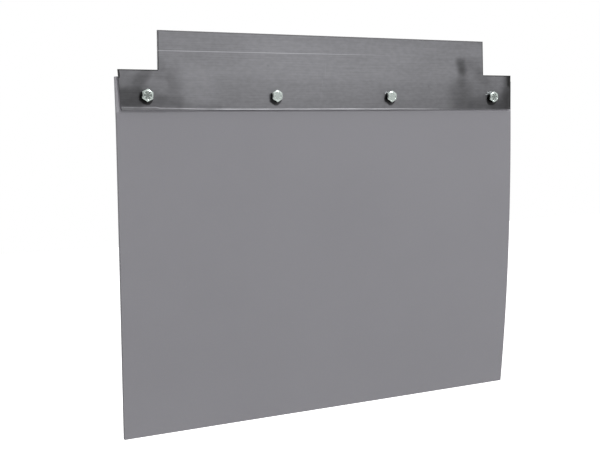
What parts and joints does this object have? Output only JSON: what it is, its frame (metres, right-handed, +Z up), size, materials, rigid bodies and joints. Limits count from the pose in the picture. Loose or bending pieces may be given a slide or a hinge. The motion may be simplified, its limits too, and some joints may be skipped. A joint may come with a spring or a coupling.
{
  "type": "mud flap",
  "caption": "Steel T-shaped hanger plate with a grey rubber mud flap bolted behind its lower band against a flat backing bar; the flap flexes below the clamp.",
  "frame": {"origin": "centre of the hanger tab's flat rear face, where the flap is fastened to the vehicle", "axes": "+X along the flap's width, -Y the front with the bolt heads, +Y the rear, +Z up"},
  "size_m": [0.6096, 0.0392, 0.528],
  "materials": {
    "mill_steel": "mill-finish sheet, faintly brushed, darker at the ends",
    "zinc_plate": "bright zinc plate",
    "grey_rubber": "smooth matte moulded rubber sheet",
    "nylon": "natural nylon"
  },
  "bodies": {
    "hanger": {"hanger_plate": "mill_steel", "flap_clamped_strip": "grey_rubber", "rear_clamp_bar": "mill_steel", "hex_bolt_1": "zinc_plate", "hex_bolt_2": "zinc_plate", "hex_bolt_3": "zinc_plate", "hex_bolt_4": "zinc_plate", "rear_washer_1": "zinc_plate", "rear_washer_2": "zinc_plate", "rear_washer_3": "zinc_plate", "rear_washer_4": "zinc_plate", "lock_nut_1": "zinc_plate", "lock_nut_2": "zinc_plate", "lock_nut_3": "zinc_plate", "lock_nut_4": "zinc_plate", "nylon_insert_1": "nylon", "nylon_insert_2": "nylon", "nylon_insert_3": "nylon", "nylon_insert_4": "nylon"},
    "flap": {"flap_panel": "grey_rubber"}
  },
  "joints": [
    {"name": "flap_flex", "type": "hinge", "parent": "hanger", "child": "flap", "pos_m": [0, 0.00347, -0.07877], "axis": [1, 0, 0], "range_deg": [-60, 60], "stiffness_Nm_per_rad": 0.9, "springref_deg": 10.94}
  ]
}
